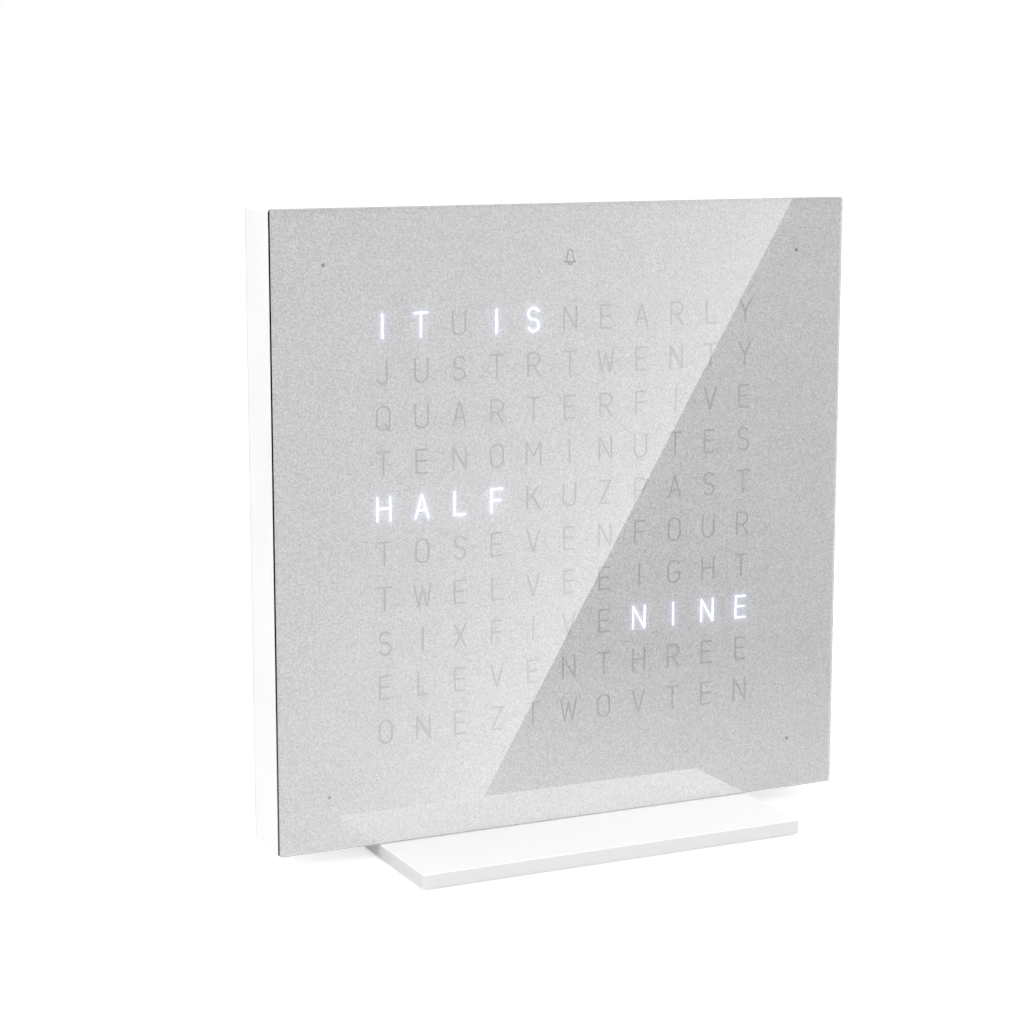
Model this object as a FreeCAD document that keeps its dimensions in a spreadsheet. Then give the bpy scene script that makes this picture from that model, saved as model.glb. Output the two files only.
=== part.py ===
import FreeCAD, Part
import math
import os
import re
import Sketcher
from FreeCAD import Vector

# Table clock that tells the time in words: a square glass panel in a slim case, standing on a metal plate.
# Millimetres. X runs to the right as the clock is read, Y runs back from the reader, Z runs up.
# The origin is on the surface that the clock stands on, under the middle of the clock.

# Driving sizes. Each is one cell of the sheet, and every sub-part takes its sizes from there.
SIZES = {
    # panel: everything that stands on the base plate
    "panel_side": 135.0,  # the panel is square
    "panel_corner": 0.6,  # radius of the panel's four corners
    "glass_thick": 1.1,
    "glass_edge": 0.12,  # polished bevel along the front edges
    "glass_rise": 0.05,  # the glass ends this far above the base plate, so that it can't chip there
    "glue_gap": 0.05,  # clear glue between the glass and the foil
    "foil_thick": 0.15,
    "foil_inset": 0.2,  # the foil ends this far inside the glass
    "shell_depth": 15.5,  # from the front of the glass to the case's rear rim
    "cover_proud": 2.5,  # the rear cover stands this far behind the rim
    "case_wall": 2.0,
    "rim_edge": 0.4,  # rounding along the case's rear rim
    # letter field
    "columns": 11,
    "rows": 10,
    "letter_pitch_x": 8.63,
    "letter_pitch_z": 9.57,
    "letter_width": 3.3,
    "letter_height": 5.3,
    "letter_stroke": 0.42,
    "dot_inset": 11.5,  # minute dots and bell, in from the panel's edges
    "dot_size": 0.85,
    "bell_width": 2.9,
    "bell_height": 3.5,
    "bell_stroke": 0.26,
    # light engine: diffuser, light grid and board, dropped into the case from behind
    "drop_in_gap": 0.3,  # between those three and the case
    "diffuser_thick": 0.6,
    "grid_depth": 4.5,
    "grid_wall": 1.0,
    "dot_well": 3.0,
    "bell_well": 5.0,
    "core_length": 36.0,  # pockets that keep the grid's margins thin
    "core_width": 9.0,
    "core_depth": 3.0,
    "core_spacing": 54.0,  # between the two pockets above the letters, and the two below
    "board_thick": 1.2,
    "led_side": 2.0,
    "led_height": 0.8,
    "led_lens": 1.5,
    "led_lens_depth": 0.25,
    # screws, all with a cross or hexagon recess
    "thread_gap": 0.05,  # radial, between a screw's shank and its hole
    "pass_gap": 0.2,  # radial, where a screw only passes through
    "board_screw": 2.0,
    "board_screw_head": 3.8,
    "board_screw_head_height": 1.3,
    "board_screw_length": 4.5,
    "board_screw_x": 112.0,  # spacing of the four board screws
    "board_screw_z": 60.0,
    "cover_screw": 2.5,
    "cover_screw_head": 4.5,
    "cover_screw_head_height": 1.6,
    "cover_screw_length": 9.0,
    "pilot_room": 1.05,  # each hole in a boss runs this far past the screw's end
    "cover_screw_sunk": 0.2,  # heads lie this far below the cover's back
    "recess_share": 0.6,  # cross recess, as a share of the head's height
    "recess_slot": 0.6,
    "boss_side": 7.0,  # square bosses in the case's corners
    # rear cover
    "cover_gap": 0.2,
    "cover_corner": 1.5,
    "cover_edge": 0.8,
    "cover_thick": 2.0,
    "cover_skirt": 3.5,  # from the cover's back to the bosses it sits on
    "cover_wall": 1.6,
    "post_size": 5.0,  # posts that press the board forward
    "post_x": 84.0,
    "post_z": 64.0,
    # setting buttons and their switches
    "buttons": 4,
    "button_pitch": 15.0,
    "button_drop": 19.0,  # button centres below the panel's top
    "button_size": 7.0,
    "button_gap": 0.08,  # radial running gap in the cover
    "button_collar": 8.8,
    "button_proud": 0.4,
    "button_rest_gap": 0.15,  # between collar and cover
    "button_dish": 4.6,
    "button_dish_depth": 0.25,
    "button_edge": 0.25,
    "switch_side": 6.0,
    "switch_body_height": 3.5,
    "switch_height": 7.0,  # board to plunger tip
    "plunger_size": 3.5,
    "plunger_gap": 0.07,
    "plunger_depth": 1.6,  # length of plunger inside the switch at rest
    "plunger_room": 2.4,  # depth of the bore it runs in
    # power socket
    "socket_x": 32.0,  # from the panel's middle
    "socket_rise": 20.0,  # above the panel's bottom
    "socket_width": 8.94,
    "socket_height": 3.16,
    "socket_corner": 1.35,
    "socket_wall": 0.3,
    "socket_sunk": 0.1,  # the mouth lies this far below the well's floor
    "socket_gap": 0.25,
    "well_width": 13.5,  # well in the cover that the plug's grip goes into
    "well_height": 8.0,
    "well_corner": 2.0,
    "well_depth": 2.2,
    "well_wall": 1.2,  # plastic round and behind the well
    "tongue_width": 6.69,
    "tongue_thick": 0.7,
    "tongue_sunk": 0.8,
    "insert_depth": 3.2,
    "insert_gap": 0.03,
    # what the board carries on its back; places are from the panel's middle
    "holder_x": -24.0,
    "holder_z": 8.0,
    "holder_side": 23.0,
    "holder_height": 4.6,
    "holder_floor": 1.0,
    "cell_size": 20.0,
    "cell_thick": 3.2,
    "cell_gap": 0.2,
    "clip_width": 5.0,
    "clip_thick": 0.3,
    "chip_x": 10.0,
    "chip_z": 8.0,
    "chip_side": 10.0,
    "chip_height": 1.4,
    "chip_leads": 11,
    "lead_pitch": 0.8,
    "lead_width": 0.35,
    "lead_reach": 1.0,
    "lead_height": 0.5,
    "driver_x": 30.0,
    "driver_z": 8.0,
    "driver_width": 7.5,
    "driver_length": 15.4,
    "driver_height": 2.3,
    "driver_spacing": 24.0,
    "driver_leads": 12,
    "driver_lead_pitch": 1.27,
    "crystal_x": 10.0,
    "crystal_z": 20.0,
    "crystal_width": 6.0,
    "crystal_length": 3.5,
    "crystal_height": 1.2,
    "crystal_corner": 0.6,
    "regulator_x": 10.0,
    "regulator_z": -22.0,
    "regulator_width": 6.5,
    "regulator_length": 3.5,
    "regulator_height": 1.6,
    "regulator_tab": 1.5,
    "capacitor_x": -24.0,
    "capacitor_z": -24.0,
    "capacitor_size": 6.3,
    "capacitor_height": 5.4,
    "capacitor_foot": 6.8,
    "capacitor_foot_height": 0.8,
    "capacitors": 3,
    "capacitor_pitch": 9.0,
    "buzzer_x": -44.0,
    "buzzer_z": -44.0,
    "buzzer_size": 12.0,
    "buzzer_height": 5.4,
    "buzzer_port": 2.0,
    "buzzer_port_depth": 1.5,
    "sound_holes": 3,
    "sound_hole": 1.5,
    "sound_pitch": 3.0,
    # base
    "plate_width": 90.0,
    "plate_depth": 65.0,
    "plate_thick": 3.0,
    "plate_corner": 0.5,
    "plate_edge": 0.2,
    "pad_size": 8.0,
    "pad_inset": 9.0,
    "pad_gap": 0.1,
    "pad_recess": 0.6,
    "pad_proud": 0.4,
    "block_length": 60.0,
    "block_depth": 6.0,
    "block_height": 8.0,
    "block_gap": 0.5,  # between the block and the board
    "rib_thick": 1.5,
    "rib_height": 6.0,
    "rib_gap": 0.2,
    "base_screw": 4.0,
    "base_screw_head": 8.0,
    "base_screw_length": 11.0,
    "base_screw_sunk": 0.1,
    "base_screw_key": 2.5,
    "base_screw_key_depth": 1.4,
    "base_screw_spacing": 40.0,
}

# Places worked out from the driving sizes, front to back and bottom to top.
FRONT = "(-(shell_depth + cover_proud) / 2)"
GLASS_BACK = f"({FRONT} + glass_thick)"
FOIL_FRONT = f"({GLASS_BACK} + glue_gap)"
CASE_FRONT = f"({FOIL_FRONT} + foil_thick)"
GRID_FRONT = f"({CASE_FRONT} + diffuser_thick)"
BOARD_FRONT = f"({GRID_FRONT} + grid_depth)"
BOARD_BACK = f"({BOARD_FRONT} + board_thick)"
RIM = f"({FRONT} + shell_depth)"
COVER_BACK = f"({RIM} + cover_proud)"
COVER_INNER = f"({COVER_BACK} - cover_thick)"
BOSS_BACK = f"({COVER_BACK} - cover_skirt)"
BLOCK_MIDDLE = f"({BOARD_BACK} + block_gap + block_depth / 2)"
PANEL_BOTTOM = "(pad_proud + plate_thick)"
PANEL_MIDDLE = f"({PANEL_BOTTOM} + panel_side / 2)"
FLOOR = f"({PANEL_BOTTOM} + case_wall)"
INNER_SIDE = "(panel_side - 2 * case_wall)"
DROP_IN_SIDE = f"({INNER_SIDE} - 2 * drop_in_gap)"
COVER_SIDE = f"({INNER_SIDE} - 2 * cover_gap)"
BOSS_OUT = f"({INNER_SIDE} / 2 - boss_side / 2)"
DOT_OUT = "(panel_side / 2 - dot_inset)"
BUTTON_Z = f"({PANEL_BOTTOM} + panel_side - button_drop)"
SOCKET_Z = f"({PANEL_BOTTOM} + socket_rise)"
COVER_SCREW_SEAT = f"({COVER_BACK} - cover_screw_sunk - cover_screw_head_height)"
BUTTON_FRONT = f"({BOARD_BACK} + switch_height)"

# Words of the letter field, a row a line, and the place of each letter's pen strokes in a box that is
# one wide and one high. A stroke is a list of points; a pair of points in it is an arc: middle, end.
WORDS = """
ITUISNEARLY
JUSTRTWENTY
QUARTERFIVE
TENOMINUTES
HALFKUZPAST
TOSEVENFOUR
TWELVEEIGHT
SIXFIVENINE
ELEVENTHREE
ONEZTWOVTEN
""".split()

BEND = 0.29  # height of a full-width half circle
STEM = [(0.05, 0.0), (0.05, 1.0)]
BOWL = [(0.05, 1.0), (0.54, 1.0), ((1.0, 0.73), (0.54, 0.46)), (0.05, 0.46)]
LEFT_OF_O = [(0.5, 1.0), ((0.146, 0.915), (0.0, 1 - BEND)), (0.0, BEND), ((0.146, 0.085), (0.5, 0.0))]
RIGHT_OF_O = [(0.5, 1.0), ((0.854, 0.915), (1.0, 1 - BEND)), (1.0, BEND), ((0.854, 0.085), (0.5, 0.0))]
GLYPHS = {
    "A": [[(0.0, 0.0), (0.5, 1.0), (1.0, 0.0)], [(0.17, 0.33), (0.83, 0.33)]],
    "E": [[(0.9, 1.0), (0.06, 1.0), (0.06, 0.0), (0.9, 0.0)], [(0.06, 0.52), (0.8, 0.52)]],
    "F": [[(0.08, 0.0), (0.08, 1.0), (0.92, 1.0)], [(0.08, 0.5), (0.8, 0.5)]],
    "G": [[(0.95, 0.835), ((0.5, 1.0), (0.0, 1 - BEND)), (0.0, BEND), ((0.5, 0.0), (1.0, BEND)),
           (1.0, 0.47), (0.58, 0.47)]],
    "H": [[(0.0, 0.0), (0.0, 1.0)], [(1.0, 0.0), (1.0, 1.0)], [(0.0, 0.52), (1.0, 0.52)]],
    "I": [[(0.5, 0.0), (0.5, 1.0)]],
    "J": [[(0.8, 1.0), (0.8, 0.2), ((0.45, 0.0), (0.1, 0.2))]],
    "K": [[(0.0, 0.0), (0.0, 1.0)], [(0.95, 1.0), (0.0, 0.36)], [(0.33, 0.585), (1.0, 0.0)]],
    "L": [[(0.1, 1.0), (0.1, 0.0), (0.92, 0.0)]],
    "M": [[(-0.08, 0.0), (-0.08, 1.0), (0.5, 0.38), (1.08, 1.0), (1.08, 0.0)]],
    "N": [[(0.0, 0.0), (0.0, 1.0), (1.0, 0.0), (1.0, 1.0)]],
    "O": [LEFT_OF_O, RIGHT_OF_O],
    "P": [STEM, BOWL],
    "Q": [LEFT_OF_O, RIGHT_OF_O, [(0.62, 0.24), (1.0, -0.03)]],
    "R": [STEM, BOWL, [(0.5, 0.46), (1.0, 0.0)]],
    "S": [[(0.888, 0.856), ((0.129, 0.875), (0.5, 0.5))], [(0.5, 0.5), ((0.871, 0.125), (0.112, 0.144))]],
    "T": [[(0.0, 1.0), (1.0, 1.0)], [(0.5, 1.0), (0.5, 0.0)]],
    "U": [[(0.0, 1.0), (0.0, BEND), ((0.5, 0.0), (1.0, BEND)), (1.0, 1.0)]],
    "V": [[(0.0, 1.0), (0.5, 0.0), (1.0, 1.0)]],
    "W": [[(-0.15, 1.0), (0.17, 0.0), (0.5, 0.85), (0.83, 0.0), (1.15, 1.0)]],
    "X": [[(0.05, 0.0), (0.95, 1.0)], [(0.05, 1.0), (0.95, 0.0)]],
    "Y": [[(0.0, 1.0), (0.5, 0.45), (1.0, 1.0)], [(0.5, 0.45), (0.5, 0.0)]],
    "Z": [[(0.05, 1.0), (0.95, 1.0), (0.05, 0.0), (0.95, 0.0)]],
}
BELL = [
    [(0.03, 0.2), (0.17, 0.34), (0.23, 0.55), (0.28, 0.78), ((0.5, 1.0), (0.72, 0.78)), (0.77, 0.55),
     (0.83, 0.34), (0.97, 0.2)],
    [(0.03, 0.2), (0.97, 0.2)],
    [(0.34, 0.2), ((0.5, 0.02), (0.66, 0.2))],
]

doc = FreeCAD.newDocument("word_clock")
sheet = doc.addObject("Spreadsheet::Sheet", "Sizes")
for row, (alias, size) in enumerate(SIZES.items(), start=1):
    sheet.set(f"A{row}", alias)
    sheet.set(f"B{row}", str(size))
    sheet.setAlias(f"B{row}", alias)
doc.recompute()


# ---- how sketches and features are bound to the sheet ----


def link(text):
    """The expression with each size's name written as its cell in the sheet."""
    return re.sub(r"[a-z][a-z0-9_]*", lambda word: "Sizes." + word[0] if word[0] in SIZES else word[0], text)


def number(text):
    """What an expression comes to now."""
    return float(sheet.evalExpression(link(text)))


def bind(item, **settings):
    """Ties properties of a document object to expressions over the sheet."""
    for name, text in settings.items():
        item.setExpression(name, link(text))
    return item


def new_body(label):
    body = doc.addObject("PartDesign::Body", label)
    body.Label = label
    return body


def datum(body, role):
    return next(feature for feature in body.Origin.OriginFeatures if feature.Role == role)


def sketch_on(body, role, offsets):
    sketch = body.newObject("Sketcher::SketchObject", "Outline")
    sketch.AttachmentSupport = [(datum(body, role), "")]
    sketch.MapMode = "FlatFace"
    for axis, text in zip("xyz", offsets):
        sketch.setExpression("AttachmentOffset.Base." + axis, link(text))
    return sketch


def upright(body, x="0", y="0", z=PANEL_MIDDLE):
    """A sketch that faces the reader, with its own origin at x, y, z."""
    return sketch_on(body, "XZ_Plane", (x, z, f"-{y}"))


def level(body, x="0", y="0", z="0"):
    """A sketch that lies flat and faces up, with its own origin at x, y, z."""
    return sketch_on(body, "XY_Plane", (x, y, z))


def dimension(sketch, constraint, text):
    index = sketch.addConstraint(constraint)
    sketch.setExpression(f"Constraints[{index}]", link(text))


def rectangle(sketch, width, height):
    """A rectangle about the sketch's origin."""
    w, h = number(width) / 2, number(height) / 2
    corners = [Vector(-w, -h), Vector(w, -h), Vector(w, h), Vector(-w, h)]
    sketch.addGeometry([Part.LineSegment(a, b) for a, b in zip(corners, corners[1:] + corners[:1])])
    ends = [Sketcher.Constraint("Coincident", i, 2, (i + 1) % 4, 1) for i in range(4)]
    level_lines = [Sketcher.Constraint("Horizontal", i) for i in (0, 2)]
    upright_lines = [Sketcher.Constraint("Vertical", i) for i in (1, 3)]
    centred = [Sketcher.Constraint("Symmetric", 0, 1, 2, 1, -1, 1)]
    sketch.addConstraint(ends + level_lines + upright_lines + centred)
    dimension(sketch, Sketcher.Constraint("Distance", 0, 2 * w), width)
    dimension(sketch, Sketcher.Constraint("Distance", 1, 2 * h), height)
    return sketch


def rounded_rectangle(sketch, width, height, radius):
    """A rectangle about the sketch's origin, with rounded corners."""
    w, h, r = number(width) / 2, number(height) / 2, number(radius)
    normal, quarter = Vector(0, 0, 1), math.pi / 2
    corners = [(w - r, r - h, 3), (w - r, h - r, 0), (r - w, h - r, 1), (r - w, r - h, 2)]
    for x, y, turn in corners:
        arc = Part.Circle(Vector(x, y), normal, r)
        sketch.addGeometry(Part.ArcOfCircle(arc, turn * quarter, (turn + 1) * quarter))
    ends = [(Vector(w, r - h), Vector(w, h - r)), (Vector(w - r, h), Vector(r - w, h)),
            (Vector(-w, h - r), Vector(-w, r - h)), (Vector(r - w, -h), Vector(w - r, -h))]
    sketch.addGeometry([Part.LineSegment(a, b) for a, b in ends])
    joins = []
    for i in range(4):
        joins.append(Sketcher.Constraint("Tangent", i, 2, 4 + i, 1))
        joins.append(Sketcher.Constraint("Tangent", 4 + i, 2, (i + 1) % 4, 1))
    alike = [Sketcher.Constraint("Equal", 0, i) for i in (1, 2, 3)]
    square = [Sketcher.Constraint("Vertical", 4), Sketcher.Constraint("Symmetric", 0, 3, 2, 3, -1, 1)]
    sketch.addConstraint(joins + alike + square)
    dimension(sketch, Sketcher.Constraint("Radius", 0, r), radius)
    dimension(sketch, Sketcher.Constraint("Distance", 4, 1, 6, 2 * w), width)
    dimension(sketch, Sketcher.Constraint("Distance", 7, 1, 5, 2 * h), height)
    return sketch


def circle(sketch, diameter):
    """A circle about the sketch's origin."""
    size = number(diameter)
    sketch.addGeometry(Part.Circle(Vector(), Vector(0, 0, 1), size / 2))
    sketch.addConstraint(Sketcher.Constraint("Coincident", 0, 3, -1, 1))
    dimension(sketch, Sketcher.Constraint("Diameter", 0, size), diameter)
    return sketch


def pad(sketch, length, back=False):
    """Raises a sketch towards its own face, or behind it. An upright sketch faces the reader."""
    feature = sketch.getParentGeoFeatureGroup().newObject("PartDesign::Pad", "Pad")
    feature.Profile = sketch
    feature.Reversed = back
    return bind(feature, Length=length)


def pocket(sketch, depth=None, front=False):
    """Cuts a sketch into what is behind it, or in front of it, to a depth or right through."""
    feature = sketch.getParentGeoFeatureGroup().newObject("PartDesign::Pocket", "Pocket")
    feature.Profile = sketch
    feature.Reversed = front
    if depth is None:
        feature.Type = "ThroughAll"
        feature.Midplane = True
        return feature
    return bind(feature, Length=depth)


def repeat(features, x=("0", "1"), other=("0", "1"), other_axis="Z_Axis"):
    """Repeats features along X and along another axis; each pair is the whole length and the count."""
    body = features[0].getParentGeoFeatureGroup()
    pattern = body.newObject("PartDesign::LinearPattern", "Pattern")
    pattern.Originals = features
    rows = [(axis, *row) for axis, row in (("X_Axis", x), (other_axis, other)) if row[1] != "1"]
    for place, (axis, length, count) in zip(("", "2"), rows):
        setattr(pattern, "Direction" + place, (datum(body, axis), [""]))
        bind(pattern, **{"Length" + place: length, "Occurrences" + place: count})
    body.Tip = pattern
    return pattern


def round_edges(body, radius, chosen):
    """Rounds the edges of the body's last feature that the chosen test picks."""
    doc.recompute()
    base = body.Tip
    names = [f"Edge{i}" for i, edge in enumerate(base.Shape.Edges, start=1) if chosen(edge)]
    fillet = body.newObject("PartDesign::Fillet", "Fillet")
    fillet.Base = (base, names)
    return bind(fillet, Radius=radius)


def runs_along(edge, axis):
    """Whether an edge is straight and parallel to an axis."""
    return isinstance(edge.Curve, Part.Line) and abs(edge.Curve.Direction.dot(axis)) > 0.999


def is_in_plane(edge, axis, place):
    """Whether an edge lies in the plane across an axis at a place."""
    box = edge.BoundBox
    low, high = Vector(box.XMin, box.YMin, box.ZMin), Vector(box.XMax, box.YMax, box.ZMax)
    return abs(low.dot(axis) - place) < 0.01 and abs(high.dot(axis) - place) < 0.01


ACROSS, BACKWARD, UPWARD = Vector(1, 0, 0), Vector(0, 1, 0), Vector(0, 0, 1)


# ---- base: plate, pads, screws and the threaded block in the case ----


def build_base_plate():
    body = new_body("base_plate")
    pad(rectangle(level(body, z="pad_proud"), "plate_width", "plate_depth"), "plate_thick")
    round_edges(body, "plate_corner", lambda edge: runs_along(edge, UPWARD))
    top = number("pad_proud + plate_thick")
    round_edges(body, "plate_edge", lambda edge: is_in_plane(edge, UPWARD, top))
    pad_x, pad_y = "(plate_width / 2 - pad_inset)", "(plate_depth / 2 - pad_inset)"
    recess = level(body, f"-{pad_x}", f"-{pad_y}", "pad_proud")
    recess_cut = pocket(circle(recess, "pad_size + 2 * pad_gap"), "pad_recess", front=True)
    repeat([recess_cut], (f"2 * {pad_x}", "2"), (f"2 * {pad_y}", "2"), "Y_Axis")
    doc.recompute()
    profile = level(body, "-base_screw_spacing / 2", BLOCK_MIDDLE, "pad_proud")
    circle(profile, "base_screw + 2 * pass_gap")
    hole = body.newObject("PartDesign::Hole", "Hole")
    hole.Profile = profile
    hole.Reversed = True
    hole.ThreadType = "None"
    hole.DepthType = "ThroughAll"
    hole.HoleCutType = "Countersink"
    hole.HoleCutCountersinkAngle = 90
    bind(hole, Diameter="base_screw + 2 * pass_gap", HoleCutDiameter="base_screw_head + 2 * pass_gap")
    repeat([hole], ("base_screw_spacing", "2"))


def build_base_pads():
    body = new_body("base_pads")
    pad_x, pad_y = "(plate_width / 2 - pad_inset)", "(plate_depth / 2 - pad_inset)"
    disc = pad(circle(level(body, f"-{pad_x}", f"-{pad_y}"), "pad_size"), "pad_proud + pad_recess")
    repeat([disc], (f"2 * {pad_x}", "2"), (f"2 * {pad_y}", "2"), "Y_Axis")


def build_base_screws():
    """Two countersunk screws with a hexagon socket, driven up through the plate into the block."""
    screws = []
    for side in ("-", ""):
        x, foot = f"{side}base_screw_spacing / 2", "pad_proud + base_screw_sunk"
        head = doc.addObject("Part::Cone", "Head")
        bind(head, Radius1="base_screw_head / 2", Radius2="base_screw / 2")
        bind(head, Height="(base_screw_head - base_screw) / 2")
        shank = doc.addObject("Part::Cylinder", "Shank")
        bind(shank, Radius="base_screw / 2", Height="base_screw_length")
        key = doc.addObject("Part::Prism", "Key")
        key.Polygon = 6
        bind(key, Circumradius="base_screw_key / sqrt(3)", Height="base_screw_key_depth")
        for item in (head, shank, key):
            for axis, text in zip("xyz", (x, BLOCK_MIDDLE, foot)):
                item.setExpression("Placement.Base." + axis, link(text))
        blank = doc.addObject("Part::MultiFuse", "Blank")
        blank.Shapes = [head, shank]
        screw = doc.addObject("Part::Cut", "Screw")
        screw.Base, screw.Tool = blank, key
        screws.append(screw)
    pair = doc.addObject("Part::Compound", "base_screws")
    pair.Label = "base_screws"
    pair.Links = screws


def build_stand_block():
    body = new_body("stand_block")
    foot = rectangle(level(body, "0", BLOCK_MIDDLE, FLOOR), "block_length", "block_depth")
    pad(foot, "block_height")
    thread = level(body, "-base_screw_spacing / 2", BLOCK_MIDDLE, FLOOR)
    thread_cut = pocket(circle(thread, "base_screw + 2 * thread_gap"))
    repeat([thread_cut], ("base_screw_spacing", "2"))


# ---- case, glass, foil and rear cover ----


def build_case_frame():
    body = new_body("case_frame")
    depth = f"{RIM} - {CASE_FRONT}"
    pad(rectangle(upright(body, y=CASE_FRONT), "panel_side", "panel_side"), depth, back=True)
    round_edges(body, "panel_corner", lambda edge: runs_along(edge, BACKWARD))
    rim = number(RIM)
    round_edges(body, "rim_edge", lambda edge: is_in_plane(edge, BACKWARD, rim))
    pocket(rectangle(upright(body, y=CASE_FRONT), INNER_SIDE, INNER_SIDE))
    corner = upright(body, f"-{BOSS_OUT}", BOSS_BACK, f"{PANEL_MIDDLE} - {BOSS_OUT}")
    boss = pad(rectangle(corner, "boss_side", "boss_side"), f"{BOSS_BACK} - {CASE_FRONT}")
    four = (f"2 * {BOSS_OUT}", "2")
    repeat([boss], four, four)
    pilot = upright(body, f"-{BOSS_OUT}", BOSS_BACK, f"{PANEL_MIDDLE} - {BOSS_OUT}")
    circle(pilot, "cover_screw + 2 * thread_gap")
    pilot_depth = f"cover_screw_length + pilot_room + {BOSS_BACK} - {COVER_SCREW_SEAT}"
    repeat([pocket(pilot, pilot_depth, front=True)], four, four)
    rib_out = "(block_length / 2 + rib_gap + rib_thick / 2)"
    rib_foot = rectangle(level(body, f"-{rib_out}", BLOCK_MIDDLE, FLOOR), "rib_thick", "block_depth")
    rib = pad(rib_foot, "rib_height")
    repeat([rib], (f"2 * {rib_out}", "2"))
    passage = level(body, "-base_screw_spacing / 2", BLOCK_MIDDLE, PANEL_BOTTOM)
    circle(passage, "base_screw + 2 * pass_gap")
    repeat([pocket(passage, "case_wall", front=True)], ("base_screw_spacing", "2"))


def build_front_glass():
    body = new_body("front_glass")
    face = upright(body, y=FRONT, z=f"{PANEL_MIDDLE} + glass_rise / 2")
    pad(rectangle(face, "panel_side", "(panel_side - glass_rise)"), "glass_thick", back=True)
    round_edges(body, "panel_corner", lambda edge: runs_along(edge, BACKWARD))
    front = number(FRONT)
    round_edges(body, "glass_edge", lambda edge: is_in_plane(edge, BACKWARD, front))


def pen_area(points, pen):
    """The area that a round pen covers along straight runs and arcs in the XY plane."""
    runs, place = [], points[0]
    for step in points[1:]:
        middle, end = step if isinstance(step, tuple) else (None, step)
        runs.append(Part.Arc(place, middle, end).toShape() if middle else Part.makeLine(place, end))
        place = end
    if len(runs) > 1 or middle:
        return Part.Face(Part.Wire(runs).makeOffset2D(pen / 2, 0, False, False))
    start, along = points[0], (end - points[0]).normalize() * (pen / 2)
    side = Vector(along.y, -along.x)
    outline = [
        Part.makeLine(start + side, end + side),
        Part.Arc(end + side, end + along, end - side).toShape(),
        Part.makeLine(end - side, start - side),
        Part.Arc(start - side, start - along, start + side).toShape(),
    ]
    return Part.Face(Part.Wire(outline))


def drawn(strokes, width, height, pen, x, y):
    """A figure of pen strokes as one area, as wide and high as given, with its middle at x, y."""
    inner_width, inner_height = width - pen, height - pen

    def spot(share):
        return Vector(x + (share[0] - 0.5) * inner_width, y + (share[1] - 0.5) * inner_height)

    areas = []
    for stroke in strokes:
        points = [tuple(map(spot, step)) if isinstance(step[0], tuple) else spot(step) for step in stroke]
        areas.append(pen_area(points, pen))
    return areas[0].fuse(areas[1:]).removeSplitter() if len(areas) > 1 else areas[0]


def build_letter_foil():
    """Foil behind the glass, with the letters, the minute dots and the bell cut out of it."""
    pitch_x, pitch_z = number("letter_pitch_x"), number("letter_pitch_z")
    columns, rows = int(number("columns")), int(number("rows"))
    letter = number("letter_width"), number("letter_height"), number("letter_stroke")
    figures = [
        drawn(GLYPHS[word[column % len(word)]], *letter, (column - (columns - 1) / 2) * pitch_x,
              ((rows - 1) / 2 - row) * pitch_z)
        for row, word in ((row, WORDS[row % len(WORDS)]) for row in range(rows))
        for column in range(columns)
    ]
    out = number(DOT_OUT)
    bell = number("bell_width"), number("bell_height"), number("bell_stroke")
    figures.append(drawn(BELL, *bell, 0.0, out))
    for x, y in ((-out, -out), (-out, out), (out, -out), (out, out)):
        dot = Part.makeCircle(number("dot_size") / 2, Vector(x, y))
        figures.append(Part.Face(Part.Wire(dot)))
    side = number("panel_side - 2 * foil_inset")
    sheet_area = Part.makePlane(side, side, Vector(-side / 2, -side / 2))
    foil = doc.addObject("Part::Feature", "letter_foil")
    foil.Label = "letter_foil"
    foil.Shape = sheet_area.cut(figures).extrude(Vector(0, 0, -number("foil_thick")))
    foil.Placement = FreeCAD.Placement(Vector(), FreeCAD.Rotation(ACROSS, 90))
    foil.setExpression("Placement.Base.y", link(FOIL_FRONT))
    foil.setExpression("Placement.Base.z", link(PANEL_MIDDLE))


def socket_outline(sketch, growth):
    """The power socket's outline, grown all round."""
    width, height = (f"{size} + 2 * {growth}" for size in ("socket_width", "socket_height"))
    return rounded_rectangle(sketch, width, height, f"socket_corner + {growth}")


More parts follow.
